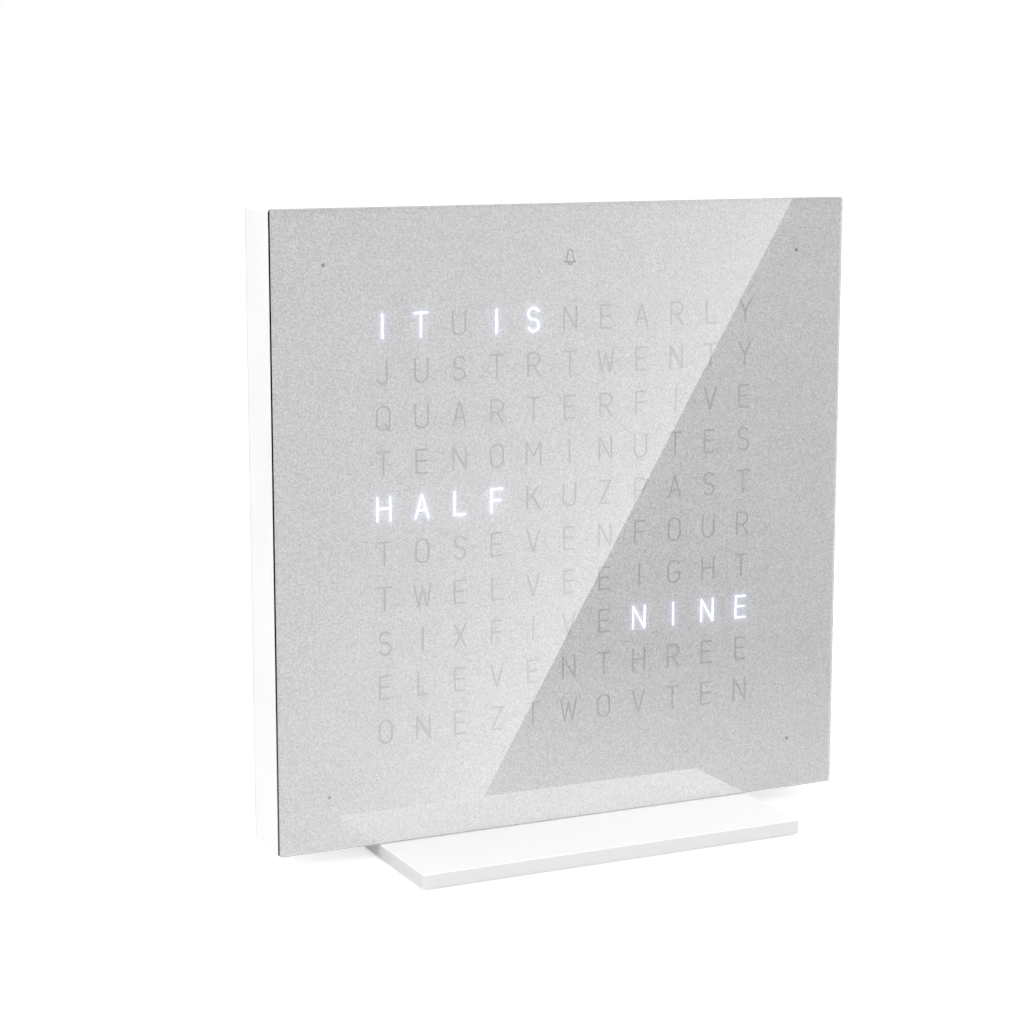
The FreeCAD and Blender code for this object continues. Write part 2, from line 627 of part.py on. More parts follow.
def build_rear_cover():
    body = new_body("rear_cover")
    pad(rectangle(upright(body, y=BOSS_BACK), COVER_SIDE, COVER_SIDE), "cover_skirt", back=True)
    round_edges(body, "cover_corner", lambda edge: runs_along(edge, BACKWARD))
    back = number(COVER_BACK)
    round_edges(body, "cover_edge", lambda edge: is_in_plane(edge, BACKWARD, back))
    hollow_side = f"{COVER_SIDE} - 2 * cover_wall"
    hollow_depth = "(cover_skirt - cover_thick)"
    pocket(rectangle(upright(body, y=BOSS_BACK), hollow_side, hollow_side), hollow_depth)
    four = (f"2 * {BOSS_OUT}", "2")
    corner = f"-{BOSS_OUT}", COVER_INNER, f"{PANEL_MIDDLE} - {BOSS_OUT}"
    seat_side = "boss_side - 2 * cover_gap"
    seat = pad(rectangle(upright(body, *corner), seat_side, seat_side), hollow_depth)
    repeat([seat], four, four)
    post_place = "-post_x / 2", COVER_INNER, f"{PANEL_MIDDLE} - post_z / 2"
    post = pad(circle(upright(body, *post_place), "post_size"), f"{COVER_INNER} - {BOARD_BACK}")
    repeat([post], ("post_x", "2"), ("post_z", "2"))
    well_back = upright(body, "socket_x", COVER_INNER, SOCKET_Z)
    rounded_rectangle(well_back, "well_width + 2 * well_wall", "well_height + 2 * well_wall", "well_corner")
    pad(well_back, "well_depth + well_wall - cover_thick")
    well = upright(body, "socket_x", COVER_BACK, SOCKET_Z)
    pocket(rounded_rectangle(well, "well_width", "well_height", "well_corner"), "well_depth", front=True)
    slot = upright(body, "socket_x", f"({COVER_BACK} - well_depth)", SOCKET_Z)
    pocket(socket_outline(slot, "socket_gap"), "well_wall", front=True)
    screw_place = f"-{BOSS_OUT}", COVER_BACK, f"{PANEL_MIDDLE} - {BOSS_OUT}"
    passage = circle(upright(body, *screw_place), "cover_screw + 2 * pass_gap")
    sunk = circle(upright(body, *screw_place), "cover_screw_head + 2 * pass_gap")
    screw_cuts = [
        pocket(passage, "cover_skirt", front=True),
        pocket(sunk, f"{COVER_BACK} - {COVER_SCREW_SEAT}", front=True),
    ]
    repeat(screw_cuts, four, four)
    first_button = "-(buttons - 1) * button_pitch / 2", COVER_BACK, BUTTON_Z
    button_hole = circle(upright(body, *first_button), "button_size + 2 * button_gap")
    button_cut = pocket(button_hole, "cover_thick", front=True)
    repeat([button_cut], ("(buttons - 1) * button_pitch", "buttons"))
    sound_side = "(sound_holes - 1) * sound_pitch"
    first_hole = f"buzzer_x - {sound_side} / 2", COVER_BACK, f"{PANEL_MIDDLE} + buzzer_z - {sound_side} / 2"
    sound_hole = pocket(circle(upright(body, *first_hole), "sound_hole"), "cover_thick", front=True)
    repeat([sound_hole], (sound_side, "sound_holes"), (sound_side, "sound_holes"))


# ---- light engine: diffuser, light grid, board and its lamps ----


def drop_in_sheet(label, front, thickness):
    """A square sheet that drops into the case from behind, notched round the corner bosses."""
    body = new_body(label)
    pad(rectangle(upright(body, y=front), DROP_IN_SIDE, DROP_IN_SIDE), thickness, back=True)
    notch = upright(body, f"-{BOSS_OUT}", front, f"{PANEL_MIDDLE} - {BOSS_OUT}")
    rectangle(notch, "boss_side + 2 * drop_in_gap", "boss_side + 2 * drop_in_gap")
    four = (f"2 * {BOSS_OUT}", "2")
    repeat([pocket(notch, thickness)], four, four)
    return body


FIELD_LEFT = "-(columns - 1) * letter_pitch_x / 2"
FIELD_BOTTOM = f"({PANEL_MIDDLE} - (rows - 1) * letter_pitch_z / 2)"
FIELD_X = ("(columns - 1) * letter_pitch_x", "columns")
FIELD_Z = ("(rows - 1) * letter_pitch_z", "rows")
DOTS = (f"2 * {DOT_OUT}", "2")
DOT_CORNER = f"-{DOT_OUT}", f"{PANEL_MIDDLE} - {DOT_OUT}"
BOARD_SCREWS_X = ("board_screw_x", "2")
BOARD_SCREWS_Z = ("board_screw_z", "2")
BOARD_SCREW_CORNER = "-board_screw_x / 2", f"{PANEL_MIDDLE} - board_screw_z / 2"


def build_light_grid():
    body = drop_in_sheet("light_grid", GRID_FRONT, "grid_depth")
    cell = upright(body, FIELD_LEFT, GRID_FRONT, FIELD_BOTTOM)
    rectangle(cell, "letter_pitch_x - grid_wall", "letter_pitch_z - grid_wall")
    repeat([pocket(cell, "grid_depth")], FIELD_X, FIELD_Z)
    well = upright(body, DOT_CORNER[0], GRID_FRONT, DOT_CORNER[1])
    repeat([pocket(circle(well, "dot_well"), "grid_depth")], DOTS, DOTS)
    pocket(circle(upright(body, "0", GRID_FRONT, f"{PANEL_MIDDLE} + {DOT_OUT}"), "bell_well"), "grid_depth")
    core = upright(body, "-core_spacing / 2", BOARD_FRONT, f"{PANEL_MIDDLE} - {DOT_OUT}")
    core_cut = pocket(rectangle(core, "core_length", "core_width"), "core_depth", front=True)
    repeat([core_cut], ("core_spacing", "2"), DOTS)
    side_core = upright(body, f"-{DOT_OUT}", BOARD_FRONT)
    side_cut = pocket(rectangle(side_core, "core_width", "core_length"), "core_depth", front=True)
    repeat([side_cut], DOTS)
    pilot = upright(body, BOARD_SCREW_CORNER[0], BOARD_FRONT, BOARD_SCREW_CORNER[1])
    circle(pilot, "board_screw + 2 * thread_gap")
    repeat([pocket(pilot, "board_screw_length", front=True)], BOARD_SCREWS_X, BOARD_SCREWS_Z)


def build_led_board():
    body = drop_in_sheet("led_board", BOARD_FRONT, "board_thick")
    passage = upright(body, BOARD_SCREW_CORNER[0], BOARD_FRONT, BOARD_SCREW_CORNER[1])
    circle(passage, "board_screw + 2 * pass_gap")
    repeat([pocket(passage, "board_thick")], BOARD_SCREWS_X, BOARD_SCREWS_Z)


def lamp(body, x, z):
    """A light-emitting diode on the front of the board, with a round lens well."""
    block = pad(rectangle(upright(body, x, BOARD_FRONT, z), "led_side", "led_side"), "led_height")
    face = upright(body, x, f"({BOARD_FRONT} - led_height)", z)
    return [block, pocket(circle(face, "led_lens"), "led_lens_depth")]


def build_lamps():
    repeat(lamp(new_body("letter_leds"), FIELD_LEFT, FIELD_BOTTOM), FIELD_X, FIELD_Z)
    body = new_body("dot_leds")
    repeat(lamp(body, *DOT_CORNER), DOTS, DOTS)
    body.Tip = lamp(body, "0", f"{PANEL_MIDDLE} + {DOT_OUT}")[-1]


def pan_screws(label, kind, seat, corner, x, z):
    """Pan-head screws with a cross recess, driven forward from a seat; four in a rectangle."""
    body = new_body(label)
    shank = pad(circle(upright(body, corner[0], seat, corner[1]), kind), f"{kind}_length")
    head_sketch = circle(upright(body, corner[0], seat, corner[1]), f"{kind}_head")
    head = pad(head_sketch, f"{kind}_head_height", back=True)
    top = corner[0], f"({seat} + {kind}_head_height)", corner[1]
    recess_depth = f"{kind}_head_height * recess_share"
    recess = f"{kind}_head * recess_share"
    cross = [
        pocket(rectangle(upright(body, *top), *sides), recess_depth, front=True)
        for sides in ((recess, "recess_slot"), ("recess_slot", recess))
    ]
    repeat([shank, head, *cross], x, z)


def build_pan_screws():
    pan_screws("board_screws", "board_screw", BOARD_BACK, BOARD_SCREW_CORNER, BOARD_SCREWS_X, BOARD_SCREWS_Z)
    corner = f"-{BOSS_OUT}", f"{PANEL_MIDDLE} - {BOSS_OUT}"
    four = (f"2 * {BOSS_OUT}", "2")
    pan_screws("cover_screws", "cover_screw", COVER_SCREW_SEAT, corner, four, four)


# ---- what the board carries on its back ----


def on_board(body, kind, rise="0"):
    """An upright sketch over a component's place, at a height above the board's back."""
    return upright(body, f"{kind}_x", f"({BOARD_BACK} + {rise})", f"({PANEL_MIDDLE} + {kind}_z)")


def build_battery():
    holder = new_body("battery_holder")
    pad(rectangle(on_board(holder, "holder"), "holder_side", "holder_side"), "holder_height", back=True)
    bed = circle(on_board(holder, "holder", "holder_height"), "cell_size + 2 * cell_gap")
    pocket(bed, "holder_height - holder_floor", front=True)
    cell = new_body("coin_cell")
    pad(circle(on_board(cell, "holder", "holder_floor"), "cell_size"), "cell_thick", back=True)
    clip = new_body("battery_clip")
    clip_side = "holder_side + 2 * clip_thick"
    pad(rectangle(on_board(clip, "holder"), clip_side, "clip_width"), "holder_height + clip_thick", back=True)
    pocket(rectangle(on_board(clip, "holder"), "holder_side", "clip_width"), "holder_height")


def build_microcontroller():
    body = new_body("microcontroller")
    case = rectangle(on_board(body, "chip", "lead_height / 2"), "chip_side", "chip_side")
    pad(case, "chip_height", back=True)
    lead_run = "(chip_leads - 1) * lead_pitch"
    reach = "chip_side + 2 * lead_reach"
    for along_x in (True, False):
        x = f"(chip_x - {lead_run} / 2)" if along_x else "chip_x"
        z = f"({PANEL_MIDDLE} + chip_z)" if along_x else f"({PANEL_MIDDLE} + chip_z - {lead_run} / 2)"
        sides = ("lead_width", reach) if along_x else (reach, "lead_width")
        lead = pad(rectangle(upright(body, x, BOARD_BACK, z), *sides), "lead_height", back=True)
        run, still = (lead_run, "chip_leads"), ("0", "1")
        repeat([lead], *((run, still) if along_x else (still, run)))


def build_led_drivers():
    body = new_body("led_drivers")
    place = "driver_x", f"({PANEL_MIDDLE} + driver_z - driver_spacing / 2)"
    case = upright(body, place[0], f"({BOARD_BACK} + lead_height / 2)", place[1])
    case_pad = pad(rectangle(case, "driver_width", "driver_length"), "driver_height", back=True)
    lead_run = "(driver_leads - 1) * driver_lead_pitch"
    lead = upright(body, place[0], BOARD_BACK, f"({place[1]} - {lead_run} / 2)")
    lead_pad = pad(rectangle(lead, "driver_width + 2 * lead_reach", "lead_width"), "lead_height", back=True)
    repeat([lead_pad], other=(lead_run, "driver_leads"))
    whole = repeat([case_pad], other=("driver_spacing", "2"))
    whole.TransformMode = "Whole shape"


def build_small_components():
    crystal = new_body("clock_crystal")
    can = on_board(crystal, "crystal")
    rounded_rectangle(can, "crystal_width", "crystal_length", "crystal_corner")
    pad(can, "crystal_height", back=True)
    regulator = new_body("voltage_regulator")
    case = rectangle(on_board(regulator, "regulator"), "regulator_width", "regulator_length")
    pad(case, "regulator_height", back=True)
    tab_reach = "regulator_length + 2 * regulator_tab"
    tab = rectangle(on_board(regulator, "regulator"), "regulator_width / 2", tab_reach)
    pad(tab, "lead_height", back=True)
    capacitors = new_body("capacitors")
    foot_sketch = on_board(capacitors, "capacitor")
    foot = pad(rectangle(foot_sketch, "capacitor_foot", "capacitor_foot"), "capacitor_foot_height", back=True)
    can_sketch = circle(on_board(capacitors, "capacitor", "capacitor_foot_height"), "capacitor_size")
    can = pad(can_sketch, "capacitor_height - capacitor_foot_height", back=True)
    repeat([foot, can], ("(capacitors - 1) * capacitor_pitch", "capacitors"))
    buzzer = new_body("alarm_buzzer")
    pad(circle(on_board(buzzer, "buzzer"), "buzzer_size"), "buzzer_height", back=True)
    port = circle(on_board(buzzer, "buzzer", "buzzer_height"), "buzzer_port")
    pocket(port, "buzzer_port_depth", front=True)


def build_power_socket():
    mouth = f"({COVER_BACK} - well_depth - socket_sunk)"
    shell = new_body("power_socket_shell")
    outside, inside = (upright(shell, "socket_x", BOARD_BACK, SOCKET_Z) for _ in range(2))
    pad(socket_outline(outside, "0"), f"{mouth} - {BOARD_BACK}", back=True)
    pocket(socket_outline(inside, "-socket_wall"), f"{mouth} - {BOARD_BACK}")
    insert = new_body("power_socket_insert")
    plug = upright(insert, "socket_x", BOARD_BACK, SOCKET_Z)
    pad(socket_outline(plug, "-(socket_wall + insert_gap)"), "insert_depth", back=True)
    tongue = upright(insert, "socket_x", BOARD_BACK, SOCKET_Z)
    pad(rectangle(tongue, "tongue_width", "tongue_thick"), f"{mouth} - tongue_sunk - {BOARD_BACK}", back=True)


# ---- setting buttons: a cap in the cover and a plunger in the switch behind it ----


def build_switch_bodies():
    body = new_body("switch_bodies")
    first = "-(buttons - 1) * button_pitch / 2"
    block = upright(body, first, BOARD_BACK, BUTTON_Z)
    block_pad = pad(rectangle(block, "switch_side", "switch_side"), "switch_body_height", back=True)
    bore = upright(body, first, f"({BOARD_BACK} + switch_body_height)", BUTTON_Z)
    bore_cut = pocket(circle(bore, "plunger_size + 2 * plunger_gap"), "plunger_room", front=True)
    repeat([block_pad, bore_cut], ("(buttons - 1) * button_pitch", "buttons"))


def build_button(place):
    """One setting button and the switch plunger that it rests on."""
    x = f"({place} - (buttons - 1) / 2) * button_pitch"
    plunger = new_body(f"switch_plunger_{place + 1}")
    foot = f"({BOARD_BACK} + switch_body_height - plunger_depth)"
    pad(circle(upright(plunger, x, foot, BUTTON_Z), "plunger_size"), f"{BUTTON_FRONT} - {foot}", back=True)
    button = new_body(f"setting_button_{place + 1}")
    collar_depth = f"({COVER_INNER} - button_rest_gap - {BUTTON_FRONT})"
    pad(circle(upright(button, x, BUTTON_FRONT, BUTTON_Z), "button_collar"), collar_depth, back=True)
    cap_depth = f"({COVER_BACK} + button_proud - {BUTTON_FRONT})"
    pad(circle(upright(button, x, BUTTON_FRONT, BUTTON_Z), "button_size"), cap_depth, back=True)
    back = number(f"{COVER_BACK} + button_proud")
    round_edges(button, "button_edge", lambda edge: is_in_plane(edge, BACKWARD, back))
    dish = circle(upright(button, x, f"({COVER_BACK} + button_proud)", BUTTON_Z), "button_dish")
    pocket(dish, "button_dish_depth", front=True)


build_base_plate()
build_base_pads()
build_base_screws()
build_stand_block()
build_case_frame()
build_front_glass()
build_letter_foil()
build_rear_cover()
drop_in_sheet("diffuser_sheet", CASE_FRONT, "diffuser_thick")
build_light_grid()
build_led_board()
build_lamps()
build_pan_screws()
build_battery()
build_microcontroller()
build_led_drivers()
build_small_components()
build_power_socket()
build_switch_bodies()
for place in range(int(number("buttons"))):
    build_button(place)
doc.recompute()

failed = [item.Label for item in doc.Objects if {"Invalid", "Error"} & set(item.State)]
if failed:
    raise RuntimeError(f"these objects failed to build: {failed}")

NODES = [item for item in doc.Objects if item.TypeId == "PartDesign::Body"]
NODES += [item for item in doc.Objects if item.Label in ("letter_foil", "base_screws")]
for node in NODES:
    if node.Shape.isNull() or not node.Shape.isValid() or not node.Shape.Solids:
        raise RuntimeError(f"{node.Label} has no valid solid")

os.makedirs("parts", exist_ok=True)
for node in NODES:
    node.Shape.exportStep(f"parts/{node.Label}.step")
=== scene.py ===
"""A word clock on its base plate: the finishes of its pieces, and the studio that it stands in."""

import logging
from dataclasses import dataclass
from enum import Enum
from math import radians
from typing import Any

import bpy
import numpy as np
from mathutils import Matrix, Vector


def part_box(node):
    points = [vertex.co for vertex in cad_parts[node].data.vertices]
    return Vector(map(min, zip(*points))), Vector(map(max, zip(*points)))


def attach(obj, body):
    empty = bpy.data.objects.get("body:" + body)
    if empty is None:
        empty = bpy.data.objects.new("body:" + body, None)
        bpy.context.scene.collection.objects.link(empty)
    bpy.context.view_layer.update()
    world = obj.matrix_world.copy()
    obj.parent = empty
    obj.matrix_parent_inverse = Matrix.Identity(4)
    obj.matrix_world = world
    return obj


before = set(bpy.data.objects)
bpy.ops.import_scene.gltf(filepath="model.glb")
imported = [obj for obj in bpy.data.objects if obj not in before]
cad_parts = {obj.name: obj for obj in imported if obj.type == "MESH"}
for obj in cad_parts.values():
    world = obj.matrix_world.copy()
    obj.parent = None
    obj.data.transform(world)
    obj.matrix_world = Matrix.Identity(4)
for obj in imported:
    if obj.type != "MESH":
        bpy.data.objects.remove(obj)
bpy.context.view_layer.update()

LOG = logging.getLogger("word_clock")
MM = 0.001
NOISE_LOW, NOISE_HIGH = 0.3, 0.7  # what the value of a soft noise mostly lies between


# ---- small tools ----

def linear(colour: str) -> tuple[float, float, float, float]:
    """Turns an sRGB hex colour into linear red, green, blue and a full alpha.

    Args:
        colour: the colour as "#RRGGBB".

    Returns:
        The four linear numbers that a colour socket takes.
    """
    parts = np.array([int(colour[i:i + 2], 16) for i in (1, 3, 5)]) / 255.0
    flat = np.where(parts <= 0.04045, parts / 12.92, ((parts + 0.055) / 1.055) ** 2.4)
    return (*flat.tolist(), 1.0)


def add(tree: bpy.types.NodeTree, kind: str, inputs: dict[Any, Any] | None = None,
        **settings: Any) -> bpy.types.Node:
    """Adds one node with its settings, and sets or links its inputs.

    Args:
        tree: the node tree.
        kind: the node's type.
        inputs: input name or number, and its value; a value that is a socket is linked.
        settings: the node's own properties.

    Returns:
        The new node.
    """
    node = tree.nodes.new(kind)
    for name, value in settings.items():
        setattr(node, name, value)
    for key, value in (inputs or {}).items():
        if isinstance(value, bpy.types.NodeSocket):
            tree.links.new(value, node.inputs[key])
        else:
            node.inputs[key].default_value = value
    return node


def surface(name: str, points: np.ndarray, values: dict[str, np.ndarray] | None = None) -> bpy.types.Object:
    """Makes an object of quads from one grid of points or several.

    Quad (i, j) of a grid joins its points (i, j), (i, j + 1), (i + 1, j + 1) and (i + 1, j).

    Args:
        name: the object's name.
        points: places in metres, of shape (rows, columns, 3) or (grids, rows, columns, 3).
        values: numbers for each point, under the names of the attributes that keep them.

    Returns:
        The object, linked to the scene.
    """
    index = np.arange(points.size // 3).reshape(points.shape[:-1])
    corners = (index[..., :-1, :-1], index[..., :-1, 1:], index[..., 1:, 1:], index[..., 1:, :-1])
    mesh = bpy.data.meshes.new(name)
    mesh.from_pydata(points.reshape(-1, 3).tolist(), [], np.stack(corners, axis=-1).reshape(-1, 4).tolist())
    for label, numbers in (values or {}).items():
        layer = mesh.attributes.new(label, "FLOAT", "POINT")
        layer.data.foreach_set("value", numbers.reshape(-1).astype(np.float32))
    piece = bpy.data.objects.new(name, mesh)
    bpy.context.scene.collection.objects.link(piece)
    return piece


@dataclass(frozen=True)
class Window:
    """An upright rectangle in the plane of the face, in metres.

    Attributes:
        x: the middle across.
        z: the middle upward.
        half_width: half the width.
        half_height: half the height.
    """

    x: float
    z: float
    half_width: float
    half_height: float

    def covers(self, tree: bpy.types.NodeTree, axes: bpy.types.Node,
               others: bpy.types.NodeSocket | float = 0.0) -> bpy.types.NodeSocket:
        """Adds nodes that tell whether a point lies in the window, on top of what is known of others.

        Args:
            tree: the node tree.
            axes: the node that gives x, y and z in metres.
            others: 1 where the point lies in an earlier window.

        Returns:
            1 in this window or an earlier one, and 0 elsewhere.
        """
        across = add(tree, "ShaderNodeMath", {0: axes.outputs["X"], 1: self.x, 2: self.half_width},
                     operation="COMPARE")
        upward = add(tree, "ShaderNodeMath", {0: axes.outputs["Z"], 1: self.z, 2: self.half_height},
                     operation="COMPARE")
        return add(tree, "ShaderNodeMath", {0: across.outputs["Value"], 1: upward.outputs["Value"], 2: others},
                   operation="MULTIPLY_ADD").outputs["Value"]


# ---- finishes ----

@dataclass(frozen=True)
class Finish:
    """A finish with an even colour, which its subclasses give a pattern.

    Attributes:
        name: the material's name.
        colour: the colour as sRGB hex.
        roughness: the mean roughness.
        metallic: 1 for a metal.
        ior: the index of refraction.
        patch: width of one patch of the drifting colour, in metres.
        cloud: how far the colour drifts, as a share of it.
        gloss: how far the roughness goes from its mean.
    """

    name: str
    colour: str
    roughness: float
    metallic: float = 0.0
    ior: float = 1.5
    patch: float = 20 * MM
    cloud: float = 0.0
    gloss: float = 0.0

    def material(self) -> bpy.types.Material:
        """Makes the material, or gives back the one that it made before.

        Returns:
            The material, with its Principled shader set and its pattern in place.
        """
        known = bpy.data.materials.get(self.name)
        if known:
            return known
        material = bpy.data.materials.new(self.name)
        material.use_nodes = True
        tree = material.node_tree
        shader = tree.nodes["Principled BSDF"]
        shader.inputs["Base Color"].default_value = linear(self.colour)
        shader.inputs["Roughness"].default_value = self.roughness
        shader.inputs["Metallic"].default_value = self.metallic
        if not self.metallic:
            shader.inputs["IOR"].default_value = self.ior
        where = add(tree, "ShaderNodeTexCoord").outputs["Object"]
        self.pattern(tree, shader, where)
        return material

    def pattern(self, tree: bpy.types.NodeTree, shader: bpy.types.Node, where: bpy.types.NodeSocket) -> None:
        """Adds what sets this finish apart from an even one; here nothing."""

    def blend(self, tree: bpy.types.NodeTree, shader: bpy.types.Node, factor: bpy.types.NodeSocket,
              share: float) -> None:
        """Lets the colour go from a darker to a lighter shade.

        Args:
            tree: the node tree.
            shader: the Principled shader.
            factor: 0 for the darker shade, 1 for the lighter one.
            share: how far the shades lie from the mean, as a share of it.
        """
        mean = np.array(linear(self.colour)[:3])
        dark, light = ((*np.clip(mean * (1 + side * share), 0, 1).tolist(), 1.0) for side in (-1, 1))
        mix = add(tree, "ShaderNodeMix", {"Factor": factor, "A": dark, "B": light}, data_type="RGBA")
        tree.links.new(mix.outputs["Result"], shader.inputs["Base Color"])

    def mottle(self, tree: bpy.types.NodeTree, shader: bpy.types.Node,
               where: bpy.types.NodeSocket) -> bpy.types.NodeSocket:
        """Lets the colour drift between a darker and a lighter shade over a soft noise.

        Args:
            tree: the node tree.
            shader: the Principled shader.
            where: the coordinates in metres.

        Returns:
            The noise's value.
        """
        noise = add(tree, "ShaderNodeTexNoise", {"Vector": where, "Scale": 1 / self.patch, "Detail": 2.0})
        drift = add(tree, "ShaderNodeMapRange", {
            "Value": noise.outputs["Fac"], "From Min": NOISE_LOW, "From Max": NOISE_HIGH})
        self.blend(tree, shader, drift.outputs["Result"], self.cloud)
        return noise.outputs["Fac"]

    def tint(self, tree: bpy.types.NodeTree, shader: bpy.types.Node, colour: str,
             share: bpy.types.NodeSocket) -> None:
        """Lays a second colour over what the base colour is so far.

        Args:
            tree: the node tree.
            shader: the Principled shader.
            colour: the second colour as sRGB hex.
            share: how much of it shows, 0 to 1.
        """
        so_far = shader.inputs["Base Color"].links[0].from_socket
        mix = add(tree, "ShaderNodeMix", {"Factor": share, "A": so_far, "B": linear(colour)}, data_type="RGBA")
        tree.links.new(mix.outputs["Result"], shader.inputs["Base Color"])

    def relief(self, tree: bpy.types.NodeTree, shader: bpy.types.Node, height: bpy.types.NodeSocket,
               depth: float) -> None:
        """Makes a bump from a height.

        Args:
            tree: the node tree.
            shader: the Principled shader.
            height: the height, 0 to 1.
            depth: what a height of 1 stands for, in metres.
        """
        bump = add(tree, "ShaderNodeBump", {"Height": height, "Distance": depth, "Strength": 1.0})
        tree.links.new(bump.outputs["Normal"], shader.inputs["Normal"])

    def wear(self, tree: bpy.types.NodeTree, shader: bpy.types.Node, value: bpy.types.NodeSocket) -> None:
        """Lets the roughness follow a noise around its mean.

        Args:
            tree: the node tree.
            shader: the Principled shader.
            value: the noise.
        """
        rough = add(tree, "ShaderNodeMapRange", {
            "Value": value, "From Min": NOISE_LOW, "From Max": NOISE_HIGH,
            "To Min": self.roughness - self.gloss, "To Max": self.roughness + self.gloss})
        tree.links.new(rough.outputs["Result"], shader.inputs["Roughness"])


@dataclass(frozen=True)
class MouldedPlastic(Finish):
    """Plastic from a spark-eroded mould: an even satin with a fine dry grain.

    Attributes:
        grain: width of one grain in metres.
        grain_depth: height of the grain in metres.
        outline_shade_from: y in metres behind which the piece gets a painted shade line, standing in for the
            shaded outline of its rear edges.
        outline_shade_colour: colour of that painted shade line as sRGB hex.
    """

    patch: float = 22 * MM
    cloud: float = 0.012
    gloss: float = 0.04
    grain: float = 0.45 * MM
    grain_depth: float = 0.006 * MM
    outline_shade_from: float | None = None
    outline_shade_colour: str = "#DCDDDE"

    def pattern(self, tree: bpy.types.NodeTree, shader: bpy.types.Node, where: bpy.types.NodeSocket) -> None:
        """Adds the slow drift of colour and gloss, the painted shade line along the rear rim, and the grain of
        the mould.

        Args:
            tree: the node tree.
            shader: the Principled shader.
            where: the coordinates in metres.
        """
        self.wear(tree, shader, self.mottle(tree, shader, where))
        # Painted shade: a grey band along the rear rim, standing in for the darker outline of the case's back
        # edges.
        if self.outline_shade_from is not None:
            axes = add(tree, "ShaderNodeSeparateXYZ", {"Vector": where})
            self.tint(tree, shader, self.outline_shade_colour, add(tree, "ShaderNodeMath", {
                0: axes.outputs["Y"], 1: self.outline_shade_from}, operation="GREATER_THAN").outputs["Value"])
        grain = add(tree, "ShaderNodeTexNoise", {"Vector": where, "Scale": 1 / self.grain, "Detail": 1.0})
        self.relief(tree, shader, grain.outputs["Fac"], self.grain_depth)


@dataclass(frozen=True)
class PowderCoat(Finish):
    """Powder coat baked on steel plate: a smooth gloss with the low swell called orange peel.

    Attributes:
        edge_shade_colour: painted shade on the plate's cut edges, which makes them greyer than the top, as sRGB
            hex.
        edge_shade_top: height up to which the cut edges get that painted shade, in metres.
        swell: width of one swell in metres.
        swell_depth: height of the swell in metres.
    """

    patch: float = 30 * MM
    cloud: float = 0.01
    gloss: float = 0.03
    edge_shade_colour: str = "#E3E3E3"
    edge_shade_top: float = 3.3 * MM
    swell: float = 1.6 * MM
    swell_depth: float = 0.006 * MM

    def pattern(self, tree: bpy.types.NodeTree, shader: bpy.types.Node, where: bpy.types.NodeSocket) -> None:
        """Adds the swell, a drift of colour where the coat is thicker, and painted shade on the cut edges.

        Args:
            tree: the node tree.
            shader: the Principled shader.
            where: the coordinates in metres.
        """
        self.wear(tree, shader, self.mottle(tree, shader, where))
        axes = add(tree, "ShaderNodeSeparateXYZ", {"Vector": where})
        # Painted shade: below a given height the cut edges and underside are greyer than the top.
        self.tint(tree, shader, self.edge_shade_colour, add(tree, "ShaderNodeMath", {
            0: axes.outputs["Z"], 1: self.edge_shade_top}, operation="LESS_THAN").outputs["Value"])
        swell = add(tree, "ShaderNodeTexNoise", {"Vector": where, "Scale": 1 / self.swell, "Detail": 2.0})
        self.relief(tree, shader, swell.outputs["Fac"], self.swell_depth)


@dataclass(frozen=True)
class CoatedGlass(Finish):
    """Float glass, cut and polished, with a hard coat that mirrors about a quarter of the light.

    Attributes:
        coat_ior: the index of the coat.
        uncoated: width of the bare strip that the coat's holder left along the right edge, in metres.
        skin: depth below the front face at which the coat surely ends, in metres.
        haze: roughness that finger marks and dust add here and there.
        smear: width of one such place in metres.
        smeared: values of a noise at which the haze starts and is full.
    """

    coat_ior: float = 3.0
    uncoated: float = 0.35 * MM
    skin: float = 0.01 * MM
    haze: float = 0.012
    smear: float = 35 * MM
    smeared: tuple[float, float] = (0.5, 0.8)

    def pattern(self, tree: bpy.types.NodeTree, shader: bpy.types.Node, where: bpy.types.NodeSocket) -> None:
        """Makes the glass clear, lays the coat on it, and adds the faint haze.

        Args:
            tree: the node tree.
            shader: the Principled shader.
            where: the coordinates in metres.
        """
        shader.inputs["Transmission Weight"].default_value = 1.0
        low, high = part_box("front_glass")
        coated = Window((low.x + high.x - self.uncoated) / 2, (low.z + high.z) / 2,
                        (high.x - low.x - self.uncoated) / 2, high.z - low.z)
        axes = add(tree, "ShaderNodeSeparateXYZ", {"Vector": where})
        front = add(tree, "ShaderNodeMath", {0: axes.outputs["Y"], 1: low.y + self.skin}, operation="LESS_THAN")
        coat = add(tree, "ShaderNodeMath", {0: front.outputs["Value"], 1: coated.covers(tree, axes)},
                   operation="MULTIPLY")
        tree.links.new(coat.outputs["Value"], shader.inputs["Coat Weight"])
        shader.inputs["Coat Roughness"].default_value = 0.0
        shader.inputs["Coat IOR"].default_value = self.coat_ior
        smear = add(tree, "ShaderNodeTexNoise", {"Vector": where, "Scale": 1 / self.smear, "Detail": 3.0})
        rough = add(tree, "ShaderNodeMapRange", {
            "Value": smear.outputs["Fac"], "From Min": self.smeared[0], "From Max": self.smeared[1],
            "To Min": self.roughness, "To Max": self.roughness + self.haze})
        tree.links.new(rough.outputs["Result"], shader.inputs["Roughness"])


